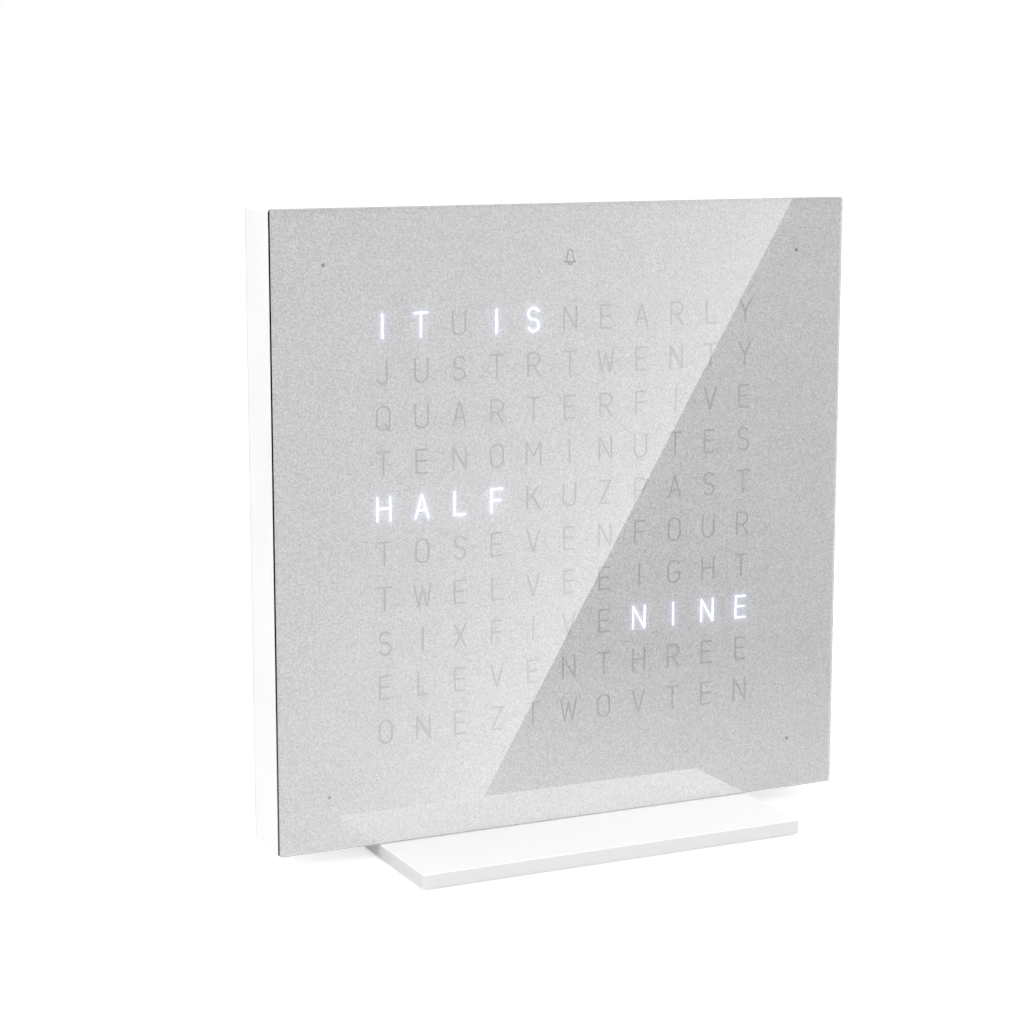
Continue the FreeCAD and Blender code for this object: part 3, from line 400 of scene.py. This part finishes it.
@dataclass(frozen=True)
class PrintedFoil(Finish):
    """Film screen-printed with silver-grey ink: satin, with single flakes that look lighter or darker.

    Attributes:
        cloud: how far the ink's slow drift moves a flake's shade, as a share of the way from dark to light.
        flake: width of one flake in metres; real ones are finer, but would not show.
        sparkle: how far a flake's shade lies from the mean at most, as a share of it.
    """

    patch: float = 12 * MM
    cloud: float = 0.1
    flake: float = 0.18 * MM
    sparkle: float = 0.25

    def pattern(self, tree: bpy.types.NodeTree, shader: bpy.types.Node, where: bpy.types.NodeSocket) -> None:
        """Gives each flake its own shade, by chance, over the ink's slow drift.

        Args:
            tree: the node tree.
            shader: the Principled shader.
            where: the coordinates in metres.
        """
        cell = add(tree, "ShaderNodeVectorMath", {0: where, 1: (self.flake,) * 3}, operation="SNAP")
        chance = add(tree, "ShaderNodeTexWhiteNoise", {"Vector": cell.outputs["Vector"]})
        drift = add(tree, "ShaderNodeTexNoise", {"Vector": where, "Scale": 1 / self.patch, "Detail": 1.0})
        shade = add(tree, "ShaderNodeMath", {
            0: drift.outputs["Fac"], 1: self.cloud, 2: chance.outputs["Value"]}, operation="MULTIPLY_ADD")
        self.blend(tree, shader, shade.outputs["Value"], self.sparkle)


@dataclass(frozen=True)
class OpalSheet(Finish):
    """Opal acrylic sheet: spreads the lamps' light, and looks milky where no lamp is on.

    Attributes:
        field: the window of the whole letter field.
        margin_shade_colour: painted shade outside the field, behind the dots and the bell, standing in for the
            shade of their wells, as sRGB hex.
        lit: the windows where lamps are on.
        light: colour of the lit sheet as sRGB hex.
        strength: brightness of the lit sheet, where 1 is white.
    """

    patch: float = 5 * MM
    cloud: float = 0.02
    field: Window = Window(0.0, 0.0, 1.0, 1.0)
    margin_shade_colour: str = "#9DA0A4"
    lit: tuple[Window, ...] = ()
    light: str = "#FFFFFF"
    strength: float = 2.6

    def pattern(self, tree: bpy.types.NodeTree, shader: bpy.types.Node, where: bpy.types.NodeSocket) -> None:
        """Adds the milky drift, the painted shade of the margin, and the light inside the lit windows.

        Args:
            tree: the node tree.
            shader: the Principled shader.
            where: the coordinates in metres.
        """
        self.mottle(tree, shader, where)
        axes = add(tree, "ShaderNodeSeparateXYZ", {"Vector": where})
        # Painted shade: outside the letter field the sheet is darker, for the shade in the wells behind the
        # dots and the bell.
        margin = add(tree, "ShaderNodeMath", {0: 1.0, 1: self.field.covers(tree, axes)}, operation="SUBTRACT")
        self.tint(tree, shader, self.margin_shade_colour, margin.outputs["Value"])
        lamps: bpy.types.NodeSocket | float = 0.0
        for window in self.lit:
            lamps = window.covers(tree, axes, lamps)
        power = add(tree, "ShaderNodeMath", {0: lamps, 1: self.strength}, operation="MULTIPLY")
        shader.inputs["Emission Color"].default_value = linear(self.light)
        tree.links.new(power.outputs["Value"], shader.inputs["Emission Strength"])


@dataclass(frozen=True)
class PaintedGlowGlue(Finish):
    """Clear glue under the glass, with a painted glow: emission close to a lit letter, standing in for the
    light that is scattered there.

    Attributes:
        light: colour of the painted glow as sRGB hex.
        strength: its brightness, where 1 is white.
        veil: how much it hides of what lies behind it, where it is strongest.
    """

    light: str = "#E4E8FF"
    strength: float = 1.35
    veil: float = 0.5

    def pattern(self, tree: bpy.types.NodeTree, shader: bpy.types.Node, where: bpy.types.NodeSocket) -> None:
        """Makes the glue clear, but for a painted glow: the emission that its mesh gives as the attribute glow.

        Args:
            tree: the node tree.
            shader: the Principled shader.
            where: the coordinates in metres; not used here.
        """
        glow = add(tree, "ShaderNodeAttribute", attribute_name="glow")
        veil = add(tree, "ShaderNodeMath", {0: glow.outputs["Fac"], 1: self.veil}, operation="MULTIPLY")
        tree.links.new(veil.outputs["Value"], shader.inputs["Alpha"])
        shader.inputs["Specular IOR Level"].default_value = 0.0
        shader.inputs["Emission Color"].default_value = linear(self.light)
        shader.inputs["Emission Strength"].default_value = self.strength


class Lay(Enum):
    """How the last tool went over a metal: the scale of its grain along X, Y and Z."""

    PLATED = (1.0, 1.0, 1.0)
    DRAWN_ALONG_Z = (1.0, 1.0, 0.04)
    DRAWN_ALONG_X = (0.04, 1.0, 1.0)


@dataclass(frozen=True)
class Metal(Finish):
    """Plated or drawn metal: fine lines or a fine crystal that break its gloss.

    Attributes:
        lay: how the surface was made.
        grain: width of one line or crystal in metres.
        grain_depth: height of the grain in metres.
    """

    metallic: float = 1.0
    patch: float = 4 * MM
    cloud: float = 0.06
    gloss: float = 0.1
    lay: Lay = Lay.PLATED
    grain: float = 0.25 * MM
    grain_depth: float = 0.003 * MM

    def pattern(self, tree: bpy.types.NodeTree, shader: bpy.types.Node, where: bpy.types.NodeSocket) -> None:
        """Adds the drift of the plating, and the lines or crystals.

        Args:
            tree: the node tree.
            shader: the Principled shader.
            where: the coordinates in metres.
        """
        self.mottle(tree, shader, where)
        drawn = add(tree, "ShaderNodeVectorMath", {0: where, 1: self.lay.value}, operation="MULTIPLY")
        lines = add(tree, "ShaderNodeTexNoise", {
            "Vector": drawn.outputs["Vector"], "Scale": 1 / self.grain, "Detail": 2.0})
        self.wear(tree, shader, lines.outputs["Fac"])
        self.relief(tree, shader, lines.outputs["Fac"], self.grain_depth)


@dataclass(frozen=True)
class SolderMask(Finish):
    """Green lacquer over copper tracks: glossy, paler where a track runs below it.

    Attributes:
        spacing: distance between tracks in metres.
        stretch: spacing across, as a share of how long a track runs along X.
        edge: where a track starts to fade and where it ends, as shares of the spacing.
        track_colour: colour over a track as sRGB hex.
        track_depth: height of a track in metres.
        lacquer: weight of the clear lacquer on top.
    """

    spacing: float = 3.5 * MM
    stretch: float = 0.3
    edge: tuple[float, float] = (0.06, 0.1)
    track_colour: str = "#2E7A4C"
    track_depth: float = 0.03 * MM
    lacquer: float = 0.5

    def pattern(self, tree: bpy.types.NodeTree, shader: bpy.types.Node, where: bpy.types.NodeSocket) -> None:
        """Draws tracks along the borders of stretched cells, and lifts the lacquer over them.

        Args:
            tree: the node tree.
            shader: the Principled shader.
            where: the coordinates in metres.
        """
        stretched = add(tree, "ShaderNodeVectorMath", {0: where, 1: (self.stretch, 1.0, 1.0)},
                        operation="MULTIPLY")
        cells = add(tree, "ShaderNodeTexVoronoi", {
            "Vector": stretched.outputs["Vector"], "Scale": 1 / self.spacing}, feature="DISTANCE_TO_EDGE")
        track = add(tree, "ShaderNodeMapRange", {
            "Value": cells.outputs["Distance"], "From Min": self.edge[0], "From Max": self.edge[1],
            "To Min": 1.0, "To Max": 0.0})
        mix = add(tree, "ShaderNodeMix", {
            "Factor": track.outputs["Result"], "A": linear(self.colour), "B": linear(self.track_colour)},
            data_type="RGBA")
        tree.links.new(mix.outputs["Result"], shader.inputs["Base Color"])
        shader.inputs["Coat Weight"].default_value = self.lacquer
        self.relief(tree, shader, track.outputs["Result"], self.track_depth)


@dataclass(frozen=True)
class Rubber(Finish):
    """Soft moulded rubber: matt, with a dry bloom in patches.

    Attributes:
        pit: width of one pit in metres.
        pit_depth: depth of the pits in metres.
    """

    patch: float = 3 * MM
    cloud: float = 0.12
    gloss: float = 0.08
    pit: float = 0.3 * MM
    pit_depth: float = 0.01 * MM

    def pattern(self, tree: bpy.types.NodeTree, shader: bpy.types.Node, where: bpy.types.NodeSocket) -> None:
        """Adds the bloom and a fine pitting.

        Args:
            tree: the node tree.
            shader: the Principled shader.
            where: the coordinates in metres.
        """
        self.wear(tree, shader, self.mottle(tree, shader, where))
        pits = add(tree, "ShaderNodeTexNoise", {"Vector": where, "Scale": 1 / self.pit, "Detail": 2.0})
        self.relief(tree, shader, pits.outputs["Fac"], self.pit_depth)


def dress(finish: Finish, *nodes: str) -> None:
    """Gives CAD nodes a finish.

    Args:
        finish: the finish.
        nodes: names of the nodes.
    """
    material = finish.material()
    for node in nodes:
        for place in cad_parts[node].material_slots:
            place.material = material
        LOG.info("%s: %s", node, finish.name)


# ---- the clock's sub-assemblies ----

@dataclass
class LetterField:
    """The grid of letters, and the words that are lit.

    Attributes:
        columns: letters in a row.
        rows: rows of letters.
        lamp_side: side of one lamp in metres.
        words: lit words as row, first column and last column, counted from the top left corner from 0.
    """

    columns: int = 11
    rows: int = 10
    lamp_side: float = 2.0 * MM
    words: tuple[tuple[int, int, int], ...] = ((0, 0, 1), (0, 3, 4), (4, 0, 3), (7, 7, 10))

    def cells(self, row: float, first: int, last: int, rows: int = 1) -> Window:
        """Works out the window of some cells from where the lamps stand on their board.

        Args:
            row: the row, or the middle of the rows, counted from 0 at the top.
            first: the first column, counted from 0 at the left.
            last: the last column.
            rows: how many rows high the window is.

        Returns:
            The window.
        """
        low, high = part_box("letter_leds")
        pitch_x = (high.x - low.x - self.lamp_side) / (self.columns - 1)
        pitch_z = (high.z - low.z - self.lamp_side) / (self.rows - 1)
        left = low.x + self.lamp_side / 2
        top = high.z - self.lamp_side / 2
        return Window(left + (first + last) / 2 * pitch_x, top - row * pitch_z,
                      (last - first + 1) / 2 * pitch_x, rows / 2 * pitch_z)

    def whole(self) -> Window:
        """Gives the window of all cells."""
        return self.cells((self.rows - 1) / 2, 0, self.columns - 1, self.rows)

    def lit_words(self) -> tuple[Window, ...]:
        """Gives a window for each lit word."""
        return tuple(self.cells(*word) for word in self.words)

    def lit_letters(self) -> tuple[Window, ...]:
        """Gives a window for each lit letter."""
        return tuple(self.cells(row, column, column)
                     for row, first, last in self.words for column in range(first, last + 1))


@dataclass
class StrayLight:
    """Painted glow on a film between glass and foil: emission around the strokes of lit letters, standing in
    for scattered light.

    Attributes:
        field: the letter field.
        reach: distance from a stroke at which the light has fallen to a third, in metres.
        margin: how far the patch of one letter reaches to each side of the cell's middle, in metres.
        step: distance between the patch's points in metres.
        lift: distance of the film from the foil in metres.
    """

    field: LetterField
    reach: float = 0.36 * MM
    margin: tuple[float, float] = (3.4 * MM, 4.4 * MM)
    step: float = 0.14 * MM
    lift: float = 0.02 * MM

    def strokes(self) -> np.ndarray:
        """Reads the edges of the openings from the foil: those of its walls that lie in its front.

        A wall is a triangle whose normal lies in the plane of the face. It has an edge in the front where two
        of its three corners are there.

        Returns:
            The edges as x and z of both ends, of shape (edges, 2, 2).
        """
        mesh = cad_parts["letter_foil"].data
        places = np.empty(len(mesh.vertices) * 3)
        mesh.vertices.foreach_get("co", places)
        corner = np.empty(len(mesh.loops), dtype=np.int64)
        mesh.loops.foreach_get("vertex_index", corner)
        triangles = places.reshape(-1, 3)[corner].reshape(-1, 3, 3)
        normal = np.cross(triangles[:, 1] - triangles[:, 0], triangles[:, 2] - triangles[:, 0])
        wall = np.abs(normal[:, 1]) < 0.5 * np.linalg.norm(normal, axis=1)
        in_front = triangles[..., 1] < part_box("letter_foil")[0].y + self.lift / 2
        chosen = wall & (in_front.sum(axis=1) == 2)
        return triangles[chosen][in_front[chosen]].reshape(-1, 2, 3)[..., [0, 2]]

    def build(self) -> None:
        """Lays one patch of painted glow over each lit letter: glow = exp(-distance to the nearest stroke edge
        / reach).
        """
        edges = self.strokes()
        middle = edges.mean(axis=1)
        ticks = [np.linspace(-side, side, int(round(2 * side / self.step)) + 1) for side in self.margin]
        across, upward = np.meshgrid(*ticks)
        patches, glows = [], []
        for window in self.field.lit_letters():
            away = np.abs(middle - (window.x, window.z))
            near = edges[np.all(away < (window.half_width, window.half_height), axis=1)]
            spots = np.stack([window.x + across, window.z + upward], axis=-1)
            along = near[:, 1] - near[:, 0]
            offset = spots[..., None, :] - near[:, 0]
            share = np.clip((offset * along).sum(axis=-1) / np.maximum((along ** 2).sum(axis=-1), 1e-18), 0, 1)
            distance = np.linalg.norm(offset - share[..., None] * along, axis=-1).min(axis=-1)
            glows.append(np.exp(-distance / self.reach))
            depth = np.full_like(across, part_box("letter_foil")[0].y - self.lift)
            patches.append(np.stack([spots[..., 0], depth, spots[..., 1]], axis=-1))
        # Painted glow: an emissive film, not a lamp, laid just in front of the foil.
        film = surface("painted_glow_film", np.array(patches), {"glow": np.array(glows)})
        film.data.materials.append(PaintedGlowGlue("painted_glow_glue", "#000000", 0.5).material())
        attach(film, "clock")
        LOG.info("painted_glow_film: %d patches", len(patches))


@dataclass
class FacePanel:
    """Glass, foil, opal sheet and light grid."""

    field: LetterField

    def build(self) -> None:
        """Dresses the face from the front to the back."""
        # Clear and colourless, with a mirror image of the base plate in its lower edge.
        dress(CoatedGlass("coated_float_glass", "#FFFFFF", 0.0), "front_glass")
        # An even light grey with a dry sparkle.
        dress(PrintedFoil("silver_screen_print", "#DFDFE0", 0.45), "letter_foil")
        # A shade darker than the foil, with painted shade in its margin; white where a lamp is on.
        dress(OpalSheet("opal_acrylic", "#CBCBCE", 0.35, field=self.field.whole(), lit=self.field.lit_words()),
              "diffuser_sheet")
        # Deep black, so that no light leaks from one letter to the next.
        dress(MouldedPlastic("black_moulded_styrene", "#1B1B1C", 0.5), "light_grid")


@dataclass
class Case:
    """White case, rear cover and the cover's screws."""

    def build(self) -> None:
        """Dresses the case."""
        # Clean white satin, brighter than the face, with a painted shade line along its rear rim.
        dress(MouldedPlastic("white_moulded_abs", "#F8F8F8", 0.38, outline_shade_from=5.6 * MM), "case_frame")
        # The same white with a coarser, drier grain.
        dress(MouldedPlastic("white_grained_abs", "#F1F1F1", 0.5, grain=0.7 * MM, grain_depth=0.012 * MM),
              "rear_cover")
        # Cool grey with a soft shine.
        dress(Metal("zinc_plated_steel", "#DADBDE", 0.45), "cover_screws", "board_screws", "base_screws",
              "stand_block")


@dataclass
class Stand:
    """Base plate and its pads."""

    def build(self) -> None:
        """Dresses the stand."""
        # White and glossier than the case, with painted shade on its cut edges.
        dress(PowderCoat("white_powder_coat", "#F9F9F9", 0.32), "base_plate")
        # Matt mid grey.
        dress(Rubber("grey_moulded_rubber", "#5D5D5F", 0.85), "base_pads")


@dataclass
class LampBoard:
    """Circuit board, its lamps and its electronics.

    Attributes:
        switches: number of switches on the board.
    """

    switches: int = 4

    def build(self) -> None:
        """Dresses the board and what stands on it."""
        # Deep green gloss with paler tracks.
        dress(SolderMask("green_solder_mask", "#14532F", 0.3), "led_board")
        # Pale yellow resin over the lamp.
        dress(MouldedPlastic("phosphor_resin", "#F1E9B4", 0.25, cloud=0.05), "letter_leds", "dot_leds")
        # Charcoal with a dull grain.
        dress(MouldedPlastic("chip_epoxy", "#2A2A2B", 0.6, grain=0.3 * MM, cloud=0.05), "microcontroller",
              "led_drivers", "voltage_regulator")
        # Black with a soft sheen.
        plungers = (f"switch_plunger_{number}" for number in range(1, self.switches + 1))
        dress(MouldedPlastic("black_moulded_nylon", "#1D1D1E", 0.45, cloud=0.04), "battery_holder",
              "alarm_buzzer", "switch_bodies", "power_socket_insert", *plungers)
        # Bright, with fine lines from the die.
        dress(Metal("nickel_plated_steel", "#D2D0CB", 0.22, lay=Lay.DRAWN_ALONG_Z), "coin_cell",
              "power_socket_shell", "clock_crystal")
        # Pale grey with lines along the cans.
        dress(Metal("drawn_aluminium", "#C9CACC", 0.3, lay=Lay.DRAWN_ALONG_X), "capacitors")
        # Darker, with a cold shine.
        dress(Metal("spring_steel_strip", "#B4B3AF", 0.28, lay=Lay.DRAWN_ALONG_Z), "battery_clip")


@dataclass
class SettingButtons:
    """The buttons in the rear cover.

    Attributes:
        count: number of buttons.
    """

    count: int = 4

    def build(self) -> None:
        """Dresses the buttons."""
        # Light grey satin, a shade darker than the cover.
        dress(MouldedPlastic("grey_moulded_abs", "#D9D9DA", 0.4), *(
            f"setting_button_{number}" for number in range(1, self.count + 1)))


# ---- studio ----

@dataclass
class Studio:
    """White floor, soft even light, a reflector beside the camera, and the camera.

    Attributes:
        floor_side: side of the floor in metres.
        floor_points: points of the floor's mesh along a side.
        floor_colour: colour of the floor as sRGB hex.
        floor_roughness: roughness of the floor.
        floor_boost: light that the floor adds for the camera, where 1 is white.
        daylight: mean strength of the light from all sides.
        bright_side: where the light is strongest, as a direction.
        contrast: how much stronger it is there than the mean, as a share.
        sky: strength of what mirrors see above the horizon.
        ground: strength of what mirrors see below it.
        horizon: z of the direction in which mirrors see the full sky; it is 0 where they see the ground.
        near_floor: strength that the lit floor close by adds to what mirrors see steeply below.
        near: z of the directions in which that starts, and in which it is full.
        card_top: upper end of the reflector's bright edge, in metres.
        card_foot: lower end of the reflector's bright edge, in metres.
        card_width: width of the reflector in metres.
        card_points: points of the reflector's mesh across and upward.
        card_light: strength at the middle of the bright edge.
        card_fade: distance from that edge over which the strength falls to a third, in metres.
        card_slope: how much stronger the reflector is at its foot than at its top, as a share.
        camera_place: the camera's place in metres.
        camera_turn: degrees that the camera is turned to the right of straight ahead.
        camera_down: degrees that it looks down.
        camera_roll: degrees that it leans to the left.
        lens: focal length in millimetres.
        sensor: width of the sensor in millimetres.
        lens_shift: shift of the lens to the right and up, as a share of the sensor's width.
    """

    floor_side: float = 12.0
    floor_points: int = 9
    floor_colour: str = "#EBEBEB"
    floor_roughness: float = 0.9
    floor_boost: float = 0.52
    daylight: float = 1.0
    bright_side: tuple[float, float, float] = (-0.6, -0.3, 0.75)
    contrast: float = 0.45
    sky: float = 0.95
    ground: float = 0.04
    horizon: float = 0.12
    near_floor: float = 0.5
    near: tuple[float, float] = (-0.225, -0.29)
    card_top: tuple[float, float, float] = (0.3975, -0.45, 0.2398)
    card_foot: tuple[float, float, float] = (0.1034, -0.45, -0.2598)
    card_width: float = 0.36
    card_points: tuple[int, int] = (25, 9)
    card_light: float = 0.77
    card_fade: float = 0.108
    card_slope: float = 0.75
    camera_place: tuple[float, float, float] = (-0.2450, -0.5040, 0.1703)
    camera_turn: float = 27.134
    camera_down: float = 10.199
    camera_roll: float = 0.402
    lens: float = 91.24
    sensor: float = 36.0
    lens_shift: tuple[float, float] = (-0.0923, 0.0049)

    def build(self) -> None:
        """Builds the world, the floor, the reflector and the camera."""
        self.build_world()
        self.build_floor()
        self.build_card()
        self.build_camera()
        bpy.context.scene.view_settings.view_transform = "Standard"
        # Keeps light sharp through the clear glass, so that the foil behind it gets all of it.
        bpy.context.scene.cycles.blur_glossy = 0.0

    def mirrored(self, tree: bpy.types.NodeTree) -> bpy.types.NodeSocket:
        """Adds nodes that pick the rays which a mirror sent on, without those that went through glass.

        Args:
            tree: the node tree.

        Returns:
            1 for such a ray, and 0 for any other.
        """
        path = add(tree, "ShaderNodeLightPath")
        return add(tree, "ShaderNodeMath", {
            0: path.outputs["Is Glossy Ray"], 1: path.outputs["Is Transmission Ray"]},
            operation="SUBTRACT", use_clamp=True).outputs["Value"]

    def build_world(self) -> None:
        """Lights from all sides, shows white to the camera, and shows mirrors a bright sky over dark ground."""
        world = bpy.data.worlds.new("studio_light")
        bpy.context.scene.world = world
        world.use_nodes = True
        tree = world.node_tree
        tree.nodes.clear()
        direction = add(tree, "ShaderNodeTexCoord").outputs["Generated"]
        axes = add(tree, "ShaderNodeSeparateXYZ", {"Vector": direction})
        height = add(tree, "ShaderNodeMapRange", {
            "Value": axes.outputs["Z"], "From Min": 0.0, "From Max": self.horizon,
            "To Min": self.ground, "To Max": self.sky})
        below = add(tree, "ShaderNodeMapRange", {
            "Value": axes.outputs["Z"], "From Min": self.near[0], "From Max": self.near[1],
            "To Min": 0.0, "To Max": self.near_floor})
        mirror = add(tree, "ShaderNodeMath", {0: height.outputs["Result"], 1: below.outputs["Result"]},
                     operation="ADD")
        toward = add(tree, "ShaderNodeVectorMath", {
            0: direction, 1: (np.array(self.bright_side) / np.linalg.norm(self.bright_side)).tolist()},
            operation="DOT_PRODUCT")
        side = add(tree, "ShaderNodeMath", {
            0: toward.outputs["Value"], 1: self.daylight * self.contrast, 2: self.daylight},
            operation="MULTIPLY_ADD")
        soft, seen, white = (
            add(tree, "ShaderNodeBackground", {"Color": linear("#FFFFFF"), "Strength": strength})
            for strength in (side.outputs["Value"], mirror.outputs["Value"], 1.0))
        light = add(tree, "ShaderNodeMixShader", {
            0: self.mirrored(tree), 1: soft.outputs[0], 2: seen.outputs[0]})
        path = add(tree, "ShaderNodeLightPath")
        all_rays = add(tree, "ShaderNodeMixShader", {
            0: path.outputs["Is Camera Ray"], 1: light.outputs[0], 2: white.outputs[0]})
        add(tree, "ShaderNodeOutputWorld", {"Surface": all_rays.outputs[0]})

    def build_floor(self) -> None:
        """Lays a square floor at height 0; the camera sees it brighter, so that only shadows stay grey."""
        ticks = np.linspace(-self.floor_side / 2, self.floor_side / 2, self.floor_points)
        x, y = np.meshgrid(ticks, ticks)
        floor = surface("studio_floor", np.stack([x, y, np.zeros_like(x)], axis=-1))
        material = bpy.data.materials.new("white_studio_floor")
        material.use_nodes = True
        tree = material.node_tree
        shader = tree.nodes["Principled BSDF"]
        shader.inputs["Base Color"].default_value = linear(self.floor_colour)
        shader.inputs["Roughness"].default_value = self.floor_roughness
        path = add(tree, "ShaderNodeLightPath")
        boost = add(tree, "ShaderNodeMath", {0: path.outputs["Is Camera Ray"], 1: self.floor_boost},
                    operation="MULTIPLY")
        shader.inputs["Emission Color"].default_value = linear("#FFFFFF")
        tree.links.new(boost.outputs["Value"], shader.inputs["Emission Strength"])
        floor.data.materials.append(material)
        floor.visible_glossy = False

    def build_card(self) -> None:
        """Stands a reflector beside the camera, which only mirrors see.

        Point (u, v) = foot + v * edge + u * across, with u in metres and v from 0 at the foot to 1 at the top.
        Strength (u, v) = light * exp(-u / fade) * (1 + slope * (0.5 - v)), on top of the dark ground's.
        """
        top, foot = np.array(self.card_top), np.array(self.card_foot)
        edge = top - foot
        across = np.cross(edge / np.linalg.norm(edge), (0.0, 1.0, 0.0))
        across *= -np.sign(across[0])
        u, v = np.meshgrid(np.linspace(0, self.card_width, self.card_points[0]),
                           np.linspace(0, 1, self.card_points[1]))
        points = foot + v[..., None] * edge + u[..., None] * across
        strength = self.card_light * np.exp(-u / self.card_fade) * (1 + self.card_slope * (0.5 - v))
        card = surface("studio_reflector", points, {"strength": self.ground + strength})
        material = bpy.data.materials.new("graded_reflector")
        material.use_nodes = True
        tree = material.node_tree
        tree.nodes.clear()
        kept = add(tree, "ShaderNodeAttribute", attribute_name="strength")
        glow = add(tree, "ShaderNodeEmission", {"Color": linear("#FFFFFF"), "Strength": kept.outputs["Fac"]})
        clear = add(tree, "ShaderNodeBsdfTransparent")
        mix = add(tree, "ShaderNodeMixShader", {
            0: self.mirrored(tree), 1: clear.outputs[0], 2: glow.outputs[0]})
        add(tree, "ShaderNodeOutputMaterial", {"Surface": mix.outputs[0]})
        card.data.materials.append(material)
        card.visible_camera = card.visible_diffuse = card.visible_shadow = False

    def build_camera(self) -> None:
        """Sets the camera up."""
        data = bpy.data.cameras.new("studio_camera")
        data.lens = self.lens
        data.sensor_width = self.sensor
        data.shift_x, data.shift_y = self.lens_shift
        camera = bpy.data.objects.new("studio_camera", data)
        camera.location = self.camera_place
        turned = (Matrix.Rotation(radians(-self.camera_turn), 3, "Z")
                  @ Matrix.Rotation(radians(90 - self.camera_down), 3, "X")
                  @ Matrix.Rotation(radians(self.camera_roll), 3, "Z"))
        camera.rotation_euler = turned.to_euler()
        bpy.context.scene.collection.objects.link(camera)
        bpy.context.scene.camera = camera


def main() -> None:
    """Builds the studio and dresses the clock, one sub-assembly after the other."""
    logging.basicConfig(level=logging.INFO, format="%(message)s")
    field = LetterField()
    assemblies = (Studio(), FacePanel(field), StrayLight(field), Case(), Stand(), LampBoard(), SettingButtons())
    for assembly in assemblies:
        assembly.build()
        LOG.info("built %s", type(assembly).__name__)


if __name__ == "__main__":
    main()
